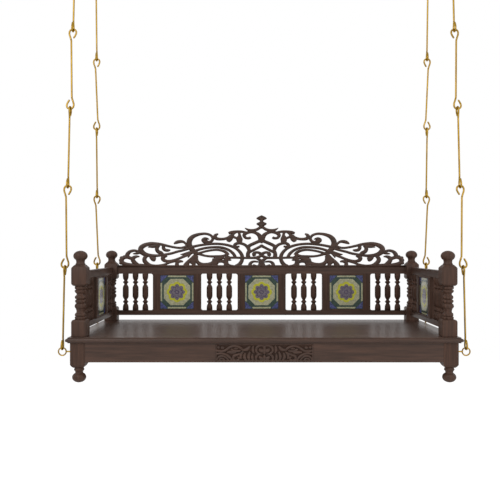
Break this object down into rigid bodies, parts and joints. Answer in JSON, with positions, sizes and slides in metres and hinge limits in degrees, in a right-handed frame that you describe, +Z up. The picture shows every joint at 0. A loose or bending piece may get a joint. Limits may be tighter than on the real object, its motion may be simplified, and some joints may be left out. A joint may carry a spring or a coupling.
{
  "type": "jhoola swing",
  "caption": "Carved wooden hanging bench with tiled and turned back and sides, a fretwork crest and four brass rod hangers",
  "frame": {"origin": "centre of the four ceiling studs, on the ceiling plane", "axes": "+X along the seat towards the right-hand end as seen from the front, +Y from the open front to the back panel, +Z up"},
  "size_m": [1.5766, 0.695, 1.7729],
  "materials": {
    "walnut": "dark stained carved wood, satin varnish",
    "glazed_tile": "hand-painted glazed ceramic in cream, green, blue and yellow",
    "brass": "polished brass rod, slightly worn"
  },
  "bodies": {
    "ceiling": {"ceiling_eyes": "brass", "ceiling_roses": "brass"},
    "hanger_front_left": {"link_front_left_1": "brass", "link_front_left_2": "brass", "link_front_left_3": "brass", "link_front_left_4": "brass", "link_front_left_5": "brass"},
    "hanger_front_right": {"link_front_right_1": "brass", "link_front_right_2": "brass", "link_front_right_3": "brass", "link_front_right_4": "brass", "link_front_right_5": "brass"},
    "hanger_back_left": {"link_back_left_1": "brass", "link_back_left_2": "brass", "link_back_left_3": "brass", "link_back_left_4": "brass", "link_back_left_5": "brass"},
    "hanger_back_right": {"link_back_right_1": "brass", "link_back_right_2": "brass", "link_back_right_3": "brass", "link_back_right_4": "brass", "link_back_right_5": "brass"},
    "seat": {"seat_board": "walnut", "seat_battens": "walnut", "leg_front_left": "walnut", "leg_front_right": "walnut", "leg_back_left": "walnut", "leg_back_right": "walnut", "post_front_left": "walnut", "post_front_right": "walnut", "post_back_left": "walnut", "post_back_right": "walnut", "apron_front": "walnut", "apron_back": "walnut", "apron_left": "walnut", "apron_right": "walnut", "apron_carving": "walnut", "back_top_rail": "walnut", "back_bottom_rail": "walnut", "back_tile_frames": "walnut", "back_balusters_left": "walnut", "back_balusters_right": "walnut", "side_top_rail_left": "walnut", "side_top_rail_right": "walnut", "side_bottom_rail_left": "walnut", "side_bottom_rail_right": "walnut", "side_tile_frame_left": "walnut", "side_tile_frame_right": "walnut", "side_balusters_left": "walnut", "side_balusters_right": "walnut", "crest_board": "walnut", "back_tile_left": "glazed_tile", "back_tile_centre": "glazed_tile", "back_tile_right": "glazed_tile", "side_tile_left": "glazed_tile", "side_tile_right": "glazed_tile", "eye_bolts": "brass", "eye_bolt_nuts": "brass"}
  },
  "joints": [
    {"name": "swing", "type": "hinge", "parent": "ceiling", "child": "hanger_front_left", "pos_m": [-0.75, -0.19, -0.054], "axis": [1, 0, 0], "range_deg": [-12, 12]},
    {"name": "swing_front_right", "type": "hinge", "parent": "ceiling", "child": "hanger_front_right", "pos_m": [0.75, -0.19, -0.054], "axis": [1, 0, 0], "range_deg": [-12, 12]},
    {"name": "swing_back_left", "type": "hinge", "parent": "ceiling", "child": "hanger_back_left", "pos_m": [-0.75, 0.19, -0.054], "axis": [1, 0, 0], "range_deg": [-12, 12]},
    {"name": "swing_back_right", "type": "hinge", "parent": "ceiling", "child": "hanger_back_right", "pos_m": [0.75, 0.19, -0.054], "axis": [1, 0, 0], "range_deg": [-12, 12]},
    {"name": "seat_pitch", "type": "hinge", "parent": "hanger_front_left", "child": "seat", "pos_m": [-0.771, -0.304, -1.60086], "axis": [1, 0, 0], "range_deg": [-7.6, 7.6]}
  ],
  "couplings": [
    {"joint": "swing_front_right", "follows": "swing", "ratio": 1},
    {"joint": "swing_back_left", "follows": "swing", "ratio": 1},
    {"joint": "swing_back_right", "follows": "swing", "ratio": 1},
    {"joint": "seat_pitch", "follows": "swing", "ratio": -0.625}
  ]
}
